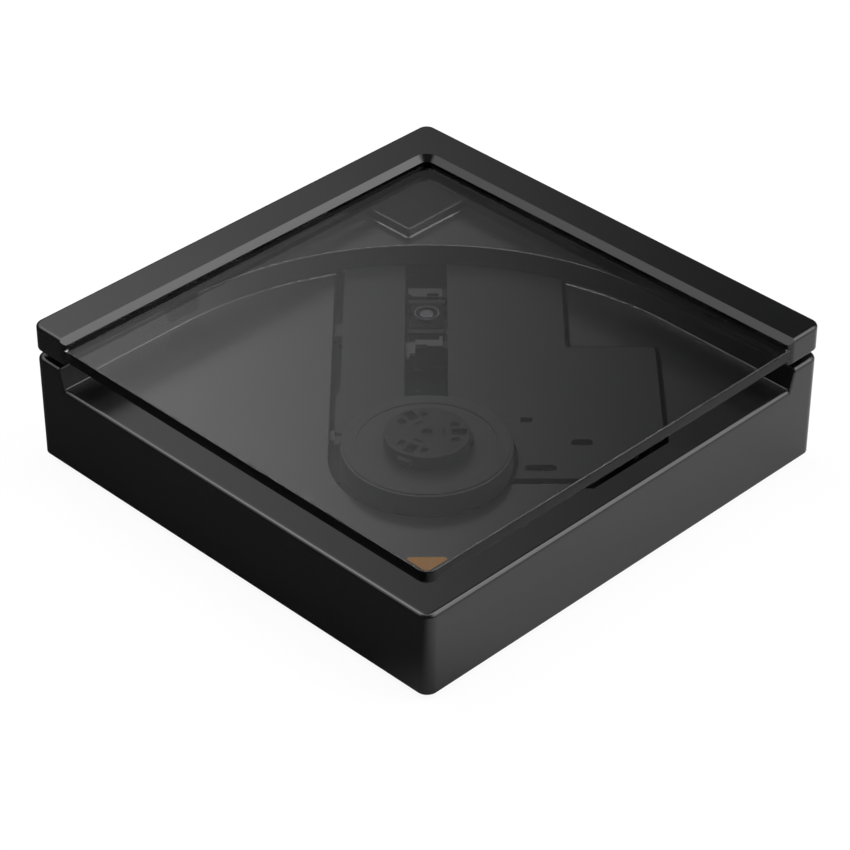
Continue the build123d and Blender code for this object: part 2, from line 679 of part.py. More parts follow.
def turntable_pad():
    ring = ring_at(0, 0, turntable_top - 0.25, turntable_top + 0.15, pad_inner + fit_gap, pad_outer - fit_gap)
    return at_spindle(ring, 0)


def rotor_magnet():
    return at_spindle(ring_at(0, 0, skirt_z + 0.2, turntable_under, 13.35, skirt_inner - fit_gap), 0)


def spindle_shaft():
    return at_spindle(disc_at(0, 0, chassis_top + 1.15, hub_top - 0.65, shaft_r), 0)


def spindle_hub():
    """Boss that centres the disc, with a window and a tunnel for each claw."""
    hub = disc_at(0, 0, turntable_top, hub_top, hub_r)
    hub = fillet(hub.faces().sort_by(Axis.Z)[-1].edges(), 0.25)
    hub = hub - disc_at(0, 0, turntable_top - 1, hub_top + 1, shaft_r + 0.02)
    for i in range(claw_count):
        turn = Rot(0, 0, 360 / claw_count * i)
        hub = hub - turn * box(3.4, 9, -claw_w / 2 - 0.1, claw_w / 2 + 0.1, claw_z - 0.15, claw_top + 0.1)
        hub = hub - turn * box(4.3, 6.9, -0.95, 0.95, claw_top, hub_top + 1)
        hub = hub - turn * box(2.75, 3.15, -0.8, 0.8, hub_top - 0.4, hub_top + 1)
        for side in (-2.2, 2.2):
            hub = hub - turn * box(4.2, 5.6, side - 0.6, side + 0.6, hub_top - 0.5, hub_top + 1)
    return at_spindle(hub, 0)


def hub_claw(angle):
    claw = box(claw_inner, claw_tip, -claw_w / 2, claw_w / 2, claw_z, claw_top)
    nose = claw.edges().filter_by(Axis.Y).sort_by(Axis.X)[-2:]
    return at_spindle(fillet(nose, 0.45), angle)


def pickup_sled():
    u, v0, v1 = sled_half, *sled_v
    sled = diag_box(-u, u, v0, v1, sled_z, sled_top)
    sled = sled + diag_box(u - 0.5, screw_u + 2.2, *nut_v, 12.2, 16.2)
    sled = sled - diag_box(-4.4, 4.4, v0 + 2.2, v1 - 2.6, 13.4, sled_top + 1)
    for side in (-1, 1):
        inner, outer = sorted((side * 5.6, side * 7.9))
        sled = sled - diag_box(inner, outer, v0 + 4, v1 - 4, 14.6, 17)
        sled = sled - diag_rod(side * rod_u, v0 - 1, v1 + 1, rod_z, rod_r + shaft_clear)
    return sled - diag_rod(screw_u, nut_v[0] - 1, nut_v[1] + 1, screw_z, screw_r + 0.07)


def actuator_yoke():
    """Steel frame round the lens, with the two magnet walls."""
    yoke = diag_box(-3.9, 3.9, 12.0, 26.0, 13.4, yoke_top)
    for v0, v1 in [(13.4, 14.6), (23.3, 24.5)]:
        yoke = yoke + diag_box(-3.4, 3.4, v0, v1, yoke_top - 0.1, 16.6)
    return yoke


def pickup_plates():
    """Bright sheet pieces on the sled's top, before and behind the lens."""
    back = diag_plate([(-3.5, 27.0), (-2.6, 25.9), (0.0, 25.9), (0.0, 27.0), (2.2, 27.0), (2.2, 25.9),
                       (2.9, 25.9), (2.9, 28.75), (-3.5, 28.75)], sled_top, sled_top + 0.5)
    front = diag_plate([(-2.1, 9.9), (0.0, 9.9), (0.0, 9.5), (2.9, 9.5), (2.9, 12.7), (2.3, 12.7),
                        (2.3, 11.5), (0.0, 11.5), (-2.1, 11.5)], sled_top, sled_top + 0.5)
    left = diag_plate([(-3.9, 5.7), (-3.1, 5.7), (-3.1, 7.0), (-2.1, 7.0), (-2.1, 10.5), (-3.9, 10.5)],
                      sled_top, sled_top + 0.5)
    return group([back, front, left])


def pickup_spring():
    return diag_box(3.35, 3.85, 16.2, 20.8, yoke_top, yoke_top + 0.5)


def lens_holder():
    """Carrier that floats between the magnets and holds the lens in its ring."""
    carrier = diag_box(-2.9, 2.9, 15.1, 22.8, 14.9, 16.7) + diag_disc(0, lens_v, 16.6, lens_top, lens_ring_r)
    return carrier - diag_disc(0, lens_v, 14, lens_top + 1, lens_r + 0.02)


def objective_lens():
    lens = diag_disc(0, lens_v, 16.2, lens_top - 0.1, lens_r)
    return fillet(lens.faces().sort_by(Axis.Z)[-1].edges(), 0.4)


def sled_motor():
    motor = diag_rod(screw_u, *motor_v, screw_z, motor_r)
    return motor - diag_rod(screw_u, motor_v[1] - 3, motor_v[1] + 1, screw_z, journal_r + shaft_clear)


def lead_screw():
    start = motor_v[1] + 0.2
    screw = diag_rod(screw_u, start, back_wall_v[0] - 0.2, screw_z, screw_r)
    return screw + diag_rod(screw_u, start - 2.8, back_wall_v[1] - 0.1, screw_z, journal_r)


pieces = {
    "base_shell": base_shell(),
    "bottom_cover": bottom_cover(),
    "cover_screws": cover_screws(),
    "feet": feet(),
    "seam_gasket": seam_gasket(),
    "base_magnets": magnets(tier_z - magnet_base_h, tier_z),
    "lid_frame": lid_frame(),
    "lid_window": lid_window(),
    "lift_mark": lift_mark(),
    "lid_magnets": magnets(lid_z, lid_z + magnet_lid_h),
    "display_bezel": display_bezel(),
    "display_window": display_window(),
    "display_module": display_module(),
    "main_board": main_board(),
    "board_screws": board_screws(),
    "board_chips": board_chips(),
    "battery_pack": battery_pack(),
    "battery_pad": battery_pad(),
    "usb_c_port": usb_c_port(),
    "button_board": button_board(),
    "tact_switches": tact_switches(),
    "deck_plate": deck_plate(),
    "deck_pillars": deck_pillars(),
    "mech_chassis": mech_chassis(),
    "damper_bushes": damper_bushes(),
    "damper_screws": damper_screws(),
    "guide_rods": guide_rods(),
    "motor_base": motor_base(),
    "stator_core": stator_core(),
    "stator_coils": stator_coils(),
    "turntable": turntable(),
    "turntable_pad": turntable_pad(),
    "rotor_magnet": rotor_magnet(),
    "spindle_shaft": spindle_shaft(),
    "spindle_hub": spindle_hub(),
    "pickup_sled": pickup_sled(),
    "actuator_yoke": actuator_yoke(),
    "pickup_plates": pickup_plates(),
    "pickup_spring": pickup_spring(),
    "lens_holder": lens_holder(),
    "objective_lens": objective_lens(),
    "sled_motor": sled_motor(),
    "lead_screw": lead_screw(),
}
for name, x in jacks.items():
    pieces[name] = jack(x)
for name, y in button_places():
    pieces[name] = side_button(y)
for i in range(claw_count):
    pieces[f"hub_claw_{i + 1}"] = hub_claw(360 / claw_count * i)

for name, shape in pieces.items():
    solids = list(shape.solids())
    export_step(solids[0] if len(solids) == 1 else Compound(label=name, children=solids), f"parts/{name}.step")
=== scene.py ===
import json
import math

import bmesh
import bpy
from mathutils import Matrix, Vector


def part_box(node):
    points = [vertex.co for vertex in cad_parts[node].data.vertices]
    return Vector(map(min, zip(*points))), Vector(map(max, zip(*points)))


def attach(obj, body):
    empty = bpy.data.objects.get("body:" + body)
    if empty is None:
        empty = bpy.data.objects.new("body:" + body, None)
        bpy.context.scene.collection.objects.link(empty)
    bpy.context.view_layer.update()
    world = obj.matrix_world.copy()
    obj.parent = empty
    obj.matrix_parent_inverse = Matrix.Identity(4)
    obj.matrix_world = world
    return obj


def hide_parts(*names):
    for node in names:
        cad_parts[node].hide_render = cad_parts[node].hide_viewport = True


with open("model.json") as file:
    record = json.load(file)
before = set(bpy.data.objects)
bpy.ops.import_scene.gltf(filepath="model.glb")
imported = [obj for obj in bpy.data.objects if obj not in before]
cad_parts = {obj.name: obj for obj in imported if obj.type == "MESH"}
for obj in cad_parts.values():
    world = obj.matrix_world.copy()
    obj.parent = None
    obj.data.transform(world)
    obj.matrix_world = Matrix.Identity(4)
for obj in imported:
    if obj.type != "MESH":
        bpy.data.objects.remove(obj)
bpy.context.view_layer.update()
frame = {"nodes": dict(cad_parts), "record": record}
nodes = frame["nodes"]
slotOf = {row["node"]: row["material_slot"] for row in frame["record"]["subparts"]}
mm = 0.001

# where the main things are, worked out from the frame
turntableLow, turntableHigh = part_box("turntable")
spindle = (turntableLow + turntableHigh) / 2
hubLow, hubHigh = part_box("spindle_hub")
lensLow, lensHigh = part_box("objective_lens")
lens = (lensLow + lensHigh) / 2
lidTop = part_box("lid_frame")[1].z
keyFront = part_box("play_button")[1].x
acrossDiagonal = Vector((1, -1, 0)).normalized()
alongDiagonal = Vector((1, 1, 0)).normalized()
upwards = Vector((0, 0, 1))
print("frame loaded", len(nodes), "nodes")


# the camera looks down along the housing's diagonal, from the front left
camera = {
    "lens": 137.39,
    "sensor": 36.0,
    "pitchDown": 35.528,      # degrees
    "heading": -45,           # degrees
    "across": -0.335 * mm,    # off the diagonal, towards the front right
    "back": 482.28 * mm,      # from the middle, towards the front left
    "overLid": 321.92 * mm,
    "clip": (0.01, 60),       # nearest and furthest that it sees, in metres
}


def makeCamera(c):
    data = bpy.data.cameras.new("camera")
    data.lens = c["lens"]
    data.sensor_width = c["sensor"]
    data.clip_start, data.clip_end = c["clip"]
    cam = bpy.data.objects.new("camera", data)
    bpy.context.scene.collection.objects.link(cam)
    cam.location = acrossDiagonal * c["across"] - alongDiagonal * c["back"]
    cam.location.z = lidTop + c["overLid"]
    cam.rotation_euler = (math.radians(90 - c["pitchDown"]), 0, math.radians(c["heading"]))
    bpy.context.scene.camera = cam


makeCamera(camera)
print("camera placed")


class Val:
    # wraps a socket, so that shader maths is written as an expression
    def __init__(self, tree, socket):
        self.tree = tree
        self.socket = socket

    def maths(self, operation, other=0.0):
        node = self.tree.nodes.new("ShaderNodeMath")
        node.operation = operation
        for slot, value in enumerate((self, other)):
            if isinstance(value, Val):
                self.tree.links.new(value.socket, node.inputs[slot])
            else:
                node.inputs[slot].default_value = value
        return Val(self.tree, node.outputs[0])

    def __add__(self, other):
        return self.maths("ADD", other)

    def __sub__(self, other):
        return self.maths("SUBTRACT", other)

    def __mul__(self, other):
        return self.maths("MULTIPLY", other)

    def __truediv__(self, other):
        return self.maths("DIVIDE", other)

    def __rsub__(self, other):
        return self.maths("MULTIPLY", -1.0) + other

    def __gt__(self, other):
        return self.maths("GREATER_THAN", other)

    def __lt__(self, other):
        return self.maths("LESS_THAN", other)

    def asColour(self, paint):
        return paint.add("ShaderNodeCombineColor", None, {0: self, 1: self, 2: self}).outputs[0]


# noise of the finishes: cells to a metre, detail and roughness
noises = {
    "mouldGrain": (5000, 1.0, 0.5),
    "mouldCloud": (60, 3.0, 0.5),
    "handling": (28, 4.0, 0.6),
    "keyCloud": (70, 3.0, 0.5),
    "inkFibre": (6000, 2.0, 0.5),
    "orangePeel": (2600, 2.0, 0.5),
    "paintCloud": (90, 3.0, 0.5),
    "turnedGrain": (5000, 2.0, 0.5),
    "metalStreak": (1500, 3.0, 0.6),
    "metalDull": (180, 3.0, 0.5),
    "rolling": (900, 3.0, 0.6),
    "stampingOil": (75, 3.0, 0.5),
    "scuffs": (1100, 4.0, 0.7),
    "rubberGrain": (4000, 3.0, 0.5),
    "rubberDust": (240, 4.0, 0.7),
    "lensHaze": (3000, 2.0, 0.5),
    "carrierGrain": (4500, 2.0, 0.5),
    "boardPatches": (90, 0.0, 0.5),
    "traceBreaks": (160, 1.0, 0.5),
    "tinnedPads": (210, 0.0, 0.5),
    "boardWeave": (2600, 2.0, 0.5),
    "foilCrinkle": (420, 4.0, 0.55),
}

# short names of the shader's inputs
shaderInputs = {
    "base": "Base Color",
    "rough": "Roughness",
    "metal": "Metallic",
    "specular": "Specular IOR Level",
    "ior": "IOR",
    "through": "Transmission Weight",
    "coat": "Coat Weight",
    "coatRough": "Coat Roughness",
    "normal": "Normal",
}


class Paint:
    # one node tree: a material's, or the world's when a tree is handed in
    def __init__(self, name, tree=None):
        if tree is None:
            self.material = bpy.data.materials.new(name)
            self.material.use_nodes = True
            tree = self.material.node_tree
        self.tree = tree
        self.tree.nodes.clear()
        self.out = self.add("ShaderNodeOutputMaterial" if name else "ShaderNodeOutputWorld")
        self.place = self.add("ShaderNodeTexCoord").outputs["Object" if name else "Generated"]

    def add(self, kind, settings=None, links=None):
        node = self.tree.nodes.new(kind)
        for key, value in (settings or {}).items():
            setattr(node, key, value)
        for key, value in (links or {}).items():
            socket = node.inputs[key]
            if isinstance(value, Val):
                self.tree.links.new(value.socket, socket)
            elif isinstance(value, bpy.types.NodeSocket):
                self.tree.links.new(value, socket)
            elif socket.type == "RGBA" and len(value) == 3:
                socket.default_value = (*value, 1)
            else:
                socket.default_value = value
        return node

    def noise(self, kind, vector=None):
        scale, detail, roughness = noises[kind]
        node = self.add("ShaderNodeTexNoise", None, {
            "Vector": vector or self.place, "Scale": scale, "Detail": detail, "Roughness": roughness})
        return Val(self.tree, node.outputs["Fac"])

    def stretched(self, scale):
        return self.add("ShaderNodeMapping", None, {"Vector": self.place, "Scale": scale}).outputs[0]

    def axis(self, name):
        node = self.add("ShaderNodeSeparateXYZ", None, {0: self.place})
        return Val(self.tree, node.outputs[name])

    def fromAxis(self, centre):
        # how far a point is from an upright axis
        x = self.axis("X") - centre.x
        y = self.axis("Y") - centre.y
        return (x * x + y * y).maths("SQRT")

    def flanks(self):
        # 1 on upright walls and 0 on level faces
        level, upright = 0.8, 0.3    # how much of the normal points up
        normal = self.add("ShaderNodeNewGeometry").outputs["Normal"]
        return self.smooth(self.dot(normal, upwards).maths("ABSOLUTE"), level, upright)

    def smooth(self, value, low, high, start=0.0, end=1.0):
        node = self.add("ShaderNodeMapRange", {"interpolation_type": "SMOOTHSTEP"}, {
            "Value": value, "From Min": low, "From Max": high, "To Min": start, "To Max": end})
        return Val(self.tree, node.outputs["Result"])

    def dot(self, first, second):
        node = self.add("ShaderNodeVectorMath", {"operation": "DOT_PRODUCT"}, {0: first, 1: second})
        return Val(self.tree, node.outputs["Value"])

    def mix(self, amount, first, second):
        node = self.add("ShaderNodeMix", {"data_type": "RGBA"}, {0: amount, 6: first, 7: second})
        return node.outputs[2]

    def mottle(self, amount, tone, darker, paler):
        return self.mix(amount, scaled(tone, darker), scaled(tone, paler))

    def bump(self, height, distance, strength):
        links = {"Height": height, "Distance": distance, "Strength": strength}
        return self.add("ShaderNodeBump", None, links).outputs["Normal"]

    def finish(self, **inputs):
        links = {shaderInputs[key]: value for key, value in inputs.items()}
        shader = self.add("ShaderNodeBsdfPrincipled", None, links)
        self.tree.links.new(shader.outputs[0], self.out.inputs["Surface"])
        return self.material

    def blend(self, amount, first, second):
        # the surface is the first shader, and the second where the amount is 1
        both = self.add("ShaderNodeMixShader", None, {0: amount, 1: first, 2: second})
        self.tree.links.new(both.outputs[0], self.out.inputs["Surface"])
        return self.material


def scaled(colour, factor):
    return tuple(channel * factor for channel in colour)


def dress(material, *names):
    for name in names:
        mesh = nodes[name].data
        if not mesh.materials:
            mesh.materials.append(material)
        for slot in range(len(mesh.materials)):
            mesh.materials[slot] = material


# in the finishes below, what is taken off the roughness makes up for what the textures add to it
sparkGrain = 0.0006 * mm    # depth of the grain on moulded pieces


def satinBlack(name, tone, rough, specular, grain=sparkGrain):
    # moulded black with a fine spark-eroded grain and faint handling marks
    paint = Paint(name)
    fine = paint.noise("mouldGrain")
    cloud = paint.noise("mouldCloud")
    smudge = paint.smooth(paint.noise("handling"), 0.52, 0.72)
    return paint.finish(base=paint.mottle(cloud, tone, 0.9, 1.12),
                        rough=cloud * 0.04 + fine * 0.03 + smudge * 0.03 + (rough - 0.05),
                        specular=specular, normal=paint.bump(fine, grain, 0.5))


def smokedPlate(name, tint, ior, rough, facePass):
    # clear plate with a slight tint; lamps and bounced light go straight through it
    paint = Paint(name)
    paint.finish(base=tint, rough=rough, through=1.0, ior=ior)
    glass = paint.out.inputs["Surface"].links[0].from_socket
    faceTint = tuple(channel ** 0.5 * facePass for channel in tint)    # light passes two faces
    clear = paint.add("ShaderNodeBsdfTransparent", None, {"Color": faceTint})
    path = paint.add("ShaderNodeLightPath")
    depth = Val(paint.tree, path.outputs["Transmission Depth"])
    outside = (depth - 1).maths("ABSOLUTE") > 0.5
    glossy = Val(paint.tree, path.outputs["Is Glossy Ray"]) * outside
    shadow = Val(paint.tree, path.outputs["Is Shadow Ray"])
    bounced = Val(paint.tree, path.outputs["Is Diffuse Ray"])
    passes = shadow.maths("MAXIMUM", bounced).maths("MAXIMUM", glossy)
    return paint.blend(passes, glass, clear.outputs[0])


def printedMark(name, tone, rough):
    paint = Paint(name)
    fibre = paint.noise("inkFibre")
    return paint.finish(base=paint.mottle(fibre, tone, 0.94, 1.06), rough=rough,
                        normal=paint.bump(fibre, 0.004 * mm, 0.4))


def paintedSheet(name, tone, rough, specular):
    # black paint over pressed steel, with a slight orange peel
    paint = Paint(name)
    peel = paint.noise("orangePeel")
    cloud = paint.noise("paintCloud")
    return paint.finish(base=paint.mottle(cloud, tone, 0.9, 1.1),
                        rough=cloud * 0.06 + peel * 0.04 + (rough - 0.05),
                        specular=specular, normal=paint.bump(peel, 0.01 * mm, 0.5))


def turnedBlack(name, tone, rough, specular, centre):
    # fine turning marks that run round the spindle, with duller walls
    paint = Paint(name)
    turning = 38000    # radians to a metre, which is six marks to a millimetre
    lathe = (paint.fromAxis(centre) * turning).maths("SINE") * 0.5 + 0.5
    fine = paint.noise("turnedGrain")
    return paint.finish(base=paint.mottle(fine, tone, 0.88, 1.12),
                        rough=lathe * 0.05 + fine * 0.05 + paint.flanks() * 0.5 + (rough - 0.05),
                        specular=specular,
                        normal=paint.bump(lathe * 0.6 + fine * 0.4, 0.003 * mm, 0.4))


def mouldedHub(name, tone, pocketShade, rough, specular, centre, rim, top):
    # moulded boss whose pockets and walls are duller than its polished top, with painted shade that
    # darkens the colour of its pockets
    paint = Paint(name)
    fadeFrom, fadeTo = 0.1 * mm, 0.3 * mm
    fine = paint.noise("mouldGrain")
    cloud = paint.noise("mouldCloud")
    below = paint.smooth(paint.axis("Z"), top - fadeFrom, top - fadeTo)
    pocket = below * paint.smooth(paint.fromAxis(centre), rim - fadeFrom, rim - fadeTo)
    dull = pocket.maths("MAXIMUM", paint.flanks())
    # painted shade: the pockets take a much darker colour than the rest of the hub
    base = paint.mix(pocket, paint.mottle(cloud, tone, 0.9, 1.12), scaled(tone, pocketShade))
    return paint.finish(base=base, rough=cloud * 0.04 + fine * 0.03 + dull * 0.5 + (rough - 0.05),
                        specular=specular, normal=paint.bump(fine, sparkGrain, 0.5))


def brightMetal(name, tone, rough, stretch):
    # drawn or turned metal with fine streaks
    paint = Paint(name)
    streak = paint.noise("metalStreak", paint.stretched(stretch))
    dull = paint.noise("metalDull")
    return paint.finish(base=paint.mottle(streak, tone, 0.82, 1.1), metal=1.0,
                        rough=streak * 0.12 + dull * 0.08 + (rough - 0.1),
                        normal=paint.bump(streak, 0.004 * mm, 0.5))


def pressedSheet(name, tone, rough):
    # blackened sheet steel: rolling marks, stamping oil and small scuffs
    paint = Paint(name)
    rolled = paint.noise("rolling", paint.stretched((14, 1, 1)))
    oil = paint.smooth(paint.noise("stampingOil"), 0.45, 0.65)
    scuff = paint.smooth(paint.noise("scuffs"), 0.66, 0.74)
    base = paint.mix(scuff * 0.5, paint.mottle(rolled, tone, 0.82, 1.15), scaled(tone, 2.2))
    return paint.finish(base=base, metal=0.8, rough=rolled * 0.1 + oil * 0.08 + (rough - 0.08),
                        normal=paint.bump(rolled * 0.6 + scuff * 0.4, 0.006 * mm, 0.5))


def rubber(name, tone, rough, specular):
    paint = Paint(name)
    grain = paint.noise("rubberGrain")
    dust = paint.smooth(paint.noise("rubberDust"), 0.5, 0.75)
    return paint.finish(base=paint.mix(dust, tone, scaled(tone, 1.6)),
                        rough=grain * 0.1 + (rough - 0.05), specular=specular,
                        normal=paint.bump(grain, 0.01 * mm, 0.6))


def lensGlass(name, middleTone, edgeTone, rough, specular, coat, coatRough, centre, radius):
    # moulded clear lens with a painted highlight: its colour is paler in the middle and darker towards
    # its edge
    paint = Paint(name)
    away = paint.fromAxis(centre) / radius
    haze = paint.noise("lensHaze")
    return paint.finish(base=paint.mix(paint.smooth(away, 0.25, 0.95), middleTone, edgeTone),
                        rough=haze * 0.03 + rough, specular=specular, coat=coat,
                        coatRough=coatRough, normal=paint.bump(haze, 0.0005 * mm, 0.3))


def lensRing(name, tone, rimTone, rough, specular, centre, inner, outer):
    # black carrier with a paler ring round the lens
    paint = Paint(name)
    away = paint.fromAxis(centre)
    rim = paint.smooth(away, inner, inner + 0.08 * mm)
    rim = rim * paint.smooth(away, outer + 0.05 * mm, outer - 0.05 * mm)
    fine = paint.noise("carrierGrain")
    return paint.finish(base=paint.mix(rim, paint.mottle(fine, tone, 0.85, 1.15), rimTone),
                        rough=fine * 0.08 + rough, specular=specular,
                        normal=paint.bump(fine, 0.002 * mm, 0.5))


# pitches are in marks to a millimetre; half widths of traces are shares of their pitch
board = {
    "mask": (0.0025, 0.006, 0.004),
    "trace": (0.005, 0.014, 0.008),
    "tin": (0.07, 0.068, 0.06),
    "hole": (0.004, 0.004, 0.004),
    "tracePitch": 1.6,
    "traceHalf": 0.17,
    "widePitch": 0.21,
    "wideHalf": 0.07,
    "padPitch": 0.4,
    "padRadius": 0.42,     # mm
    "holeRadius": 0.18,    # mm
    "unbroken": 0.47,      # noise above which a trace runs on
    "padded": 0.55,        # noise above which a pad is there
}


def circuitBoard(name, b):
    # green mask over copper: fine parallel traces, a few wide ones, and tinned rings round holes
    paint = Paint(name)
    x, y = paint.axis("X") / mm, paint.axis("Y") / mm
    patch = paint.noise("boardPatches")
    line = Val(paint.tree, paint.mix(patch > 0.5, x.asColour(paint), y.asColour(paint)))
    trace = fromCell(line * b["tracePitch"]).maths("ABSOLUTE") < b["traceHalf"]
    wide = fromCell(line * b["widePitch"]).maths("ABSOLUTE") < b["wideHalf"]
    copper = (trace * (paint.noise("traceBreaks") > b["unbroken"])).maths("MAXIMUM", wide)
    cellX = fromCell(x * b["padPitch"])
    cellY = fromCell(y * b["padPitch"])
    fromHole = (cellX * cellX + cellY * cellY).maths("SQRT") * (1 / b["padPitch"])
    tin = (fromHole < b["padRadius"]) * (paint.noise("tinnedPads") > b["padded"])
    hole = (fromHole < b["holeRadius"]) * tin
    mask = paint.mix(copper, b["mask"], b["trace"])
    base = paint.mix(hole, paint.mix(tin, mask, b["tin"]), b["hole"])
    weave = paint.noise("boardWeave")
    return paint.finish(base=base, rough=weave * 0.08 + tin * 0.05 + 0.3,
                        metal=(tin - hole) * 0.9, specular=0.15,
                        normal=paint.bump(copper + tin + weave * 0.3, 0.02 * mm, 0.6))


def fromCell(value):
    # where a point is in its cell, from -0.5 to 0.5
    return value.maths("FRACT") - 0.5


def pouchWrap(name, tone, rubbedTone, metal, rough):
    # foil pouch of the battery: pale grey, softly crinkled, with rubbed high spots
    paint = Paint(name)
    crinkle = paint.noise("foilCrinkle")
    return paint.finish(base=paint.mix(paint.smooth(crinkle, 0.52, 0.7), tone, rubbedTone),
                        metal=metal, rough=crinkle * 0.2 + rough,
                        normal=paint.bump(crinkle, 0.12 * mm, 0.6))


# what makes each finish, which pieces wear it, and how it looks
blackTone = (0.0040, 0.0041, 0.0044)
claws = [name for name in nodes if name.startswith("hub_claw")]
finishes = {
    "housingBlack": {
        "make": satinBlack, "on": ["base_shell"],
        "tone": blackTone, "rough": 0.24, "specular": 0.56},
    "lidBlack": {
        "make": satinBlack, "on": ["lid_frame"],
        "tone": blackTone, "rough": 0.18, "specular": 0.52},
    "coverBlack": {
        "make": satinBlack, "on": ["bottom_cover"],
        "tone": scaled(blackTone, 0.8), "rough": 0.55, "specular": 0.3, "grain": 0.02 * mm},
    "hubBlack": {
        "make": mouldedHub, "on": ["spindle_hub", *claws],
        # painted shade: the hub's pockets are coloured darker
        "tone": scaled(blackTone, 0.9), "pocketShade": 0.05, "rough": 0.42, "specular": 0.17,
        "centre": spindle, "rim": (hubHigh.x - hubLow.x) / 2, "top": hubHigh.z},
    "bezelBlack": {
        "make": satinBlack, "on": ["display_bezel", "headphone_jack", "line_jack"],
        "tone": blackTone, "rough": 0.2, "specular": 0.5},
    "sledBlack": {
        "make": satinBlack, "on": ["pickup_sled", "actuator_yoke"],
        "tone": scaled(blackTone, 0.6), "rough": 0.5, "specular": 0.2},
    "deckBlack": {
        "make": paintedSheet, "on": ["deck_plate"],
        "tone": scaled(blackTone, 1.15), "rough": 0.4, "specular": 0.25},
    "turntableBlack": {
        "make": turnedBlack, "on": ["turntable"],
        "tone": scaled(blackTone, 1.1), "rough": 0.38, "specular": 0.31, "centre": spindle},
    "ringBlack": {
        "make": turnedBlack, "on": ["turntable_pad"],
        "tone": scaled(blackTone, 1.1), "rough": 0.45, "specular": 0.29, "centre": spindle},
    "smokedWindow": {
        "make": smokedPlate, "on": ["lid_window"],
        "tint": (0.93, 0.93, 0.94), "ior": 1.29, "rough": 0.015, "facePass": 0.97},
    "markOrange": {
        "make": printedMark, "on": ["lift_mark"],
        "tone": (0.128, 0.064, 0.019), "rough": 0.42},
    "sealRubber": {
        "make": rubber, "on": ["seam_gasket", "damper_bushes", "battery_pad"],
        "tone": (0.0025, 0.0025, 0.0025), "rough": 0.75, "specular": 0.12},
    "footRubber": {
        "make": rubber, "on": ["feet"],
        "tone": (0.012, 0.012, 0.012), "rough": 0.75, "specular": 0.12},
    "plainSteel": {
        "make": brightMetal,
        "on": ["lid_magnets", "base_magnets", "guide_rods", "lead_screw", "rotor_magnet",
               "deck_pillars", "board_screws", "damper_screws", "usb_c_port"],
        "tone": (0.42, 0.42, 0.43), "rough": 0.34, "stretch": (1, 1, 14)},
    "dullSteel": {
        "make": brightMetal, "on": ["pickup_plates", "pickup_spring"],
        "tone": (0.072, 0.072, 0.075), "rough": 0.45, "stretch": (1, 1, 1)},
    "trayBlack": {
        "make": pressedSheet, "on": ["mech_chassis", "motor_base"],
        "tone": (0.03, 0.03, 0.032), "rough": 0.5},
    "zincSheet": {
        "make": pressedSheet, "on": ["sled_motor", "stator_core", "tact_switches"],
        "tone": (0.24, 0.24, 0.245), "rough": 0.42},
    "blackSteel": {
        "make": brightMetal, "on": ["cover_screws", "spindle_shaft"],
        "tone": (0.012, 0.012, 0.013), "rough": 0.45, "stretch": (1, 1, 14)},
    "displayFront": {
        "make": satinBlack, "on": ["display_window"],
        "tone": scaled(blackTone, 0.45), "rough": 0.45, "specular": 0.05},
    "boardGreen": {
        "make": circuitBoard, "on": ["main_board", "button_board"],
        "b": board},
    "chipBlack": {
        "make": satinBlack, "on": ["board_chips", "display_module"],
        "tone": scaled(blackTone, 0.9), "rough": 0.5, "specular": 0.3, "grain": 0.01 * mm},
    "cellWrap": {
        "make": pouchWrap, "on": ["battery_pack"],
        "tone": (0.16, 0.165, 0.18), "rubbedTone": (0.3, 0.3, 0.31),
        "metal": 0.55, "rough": 0.25},
    "coilCopper": {
        "make": brightMetal, "on": ["stator_coils"],
        "tone": (0.62, 0.26, 0.12), "rough": 0.35, "stretch": (1, 1, 22)},
    "lensClear": {
        "make": lensGlass, "on": ["objective_lens"],
        # painted highlight: the lens's middle is coloured paler than its edge
        "middleTone": (0.028, 0.029, 0.031), "edgeTone": (0.006, 0.0065, 0.008),
        "rough": 0.12, "specular": 0.4, "coat": 0.25, "coatRough": 0.06,
        "centre": lens, "radius": (lensHigh.x - lensLow.x) / 2},
    "carrierBlack": {
        "make": lensRing, "on": ["lens_holder"],
        "tone": scaled(blackTone, 0.6), "rimTone": (0.09, 0.09, 0.095),
        "rough": 0.4, "specular": 0.05,
        "centre": lens, "inner": 2.1 * mm, "outer": 2.28 * mm},
}
materials = {}
for name, finish in finishes.items():
    look = {key: value for key, value in finish.items() if key not in ("make", "on")}
    materials[name] = finish["make"](name, **look)
    dress(materials[name], *finish["on"])


def barSign(along, up, at, width, height):
    return ((along - at).maths("ABSOLUTE") < width / 2) * (up.maths("ABSOLUTE") < height / 2)


def arrowSign(along, up, at, side):
    # triangle 1.5 mm long that points along Y, or back where side is -1
    half, slope = 0.75, 0.55
    ahead = (along - at) * side
    inside = up.maths("ABSOLUTE") < (half - ahead) * slope
    return inside * (ahead > -half)


# signs printed on the side keys, in mm from the middle of each
keys = {
    "tone": scaled(blackTone, 1.1),
    "signTone": (0.34, 0.34, 0.35),
    "rough": 0.36,
    "specular": 0.35,
    "signs": {
        "volume_down_button": [(barSign, 0, 1.5, 0.32)],
        "previous_button": [(arrowSign, -0.7, -1), (arrowSign, 0.8, -1)],
        "play_button": [(arrowSign, -0.8, 1), (barSign, 0.75, 0.35, 1.6), (barSign, 1.5, 0.35, 1.6)],
        "next_button": [(arrowSign, -0.8, 1), (arrowSign, 0.7, 1)],
        "volume_up_button": [(barSign, 0, 1.5, 0.32), (barSign, 0, 0.32, 1.5)],
    },
}


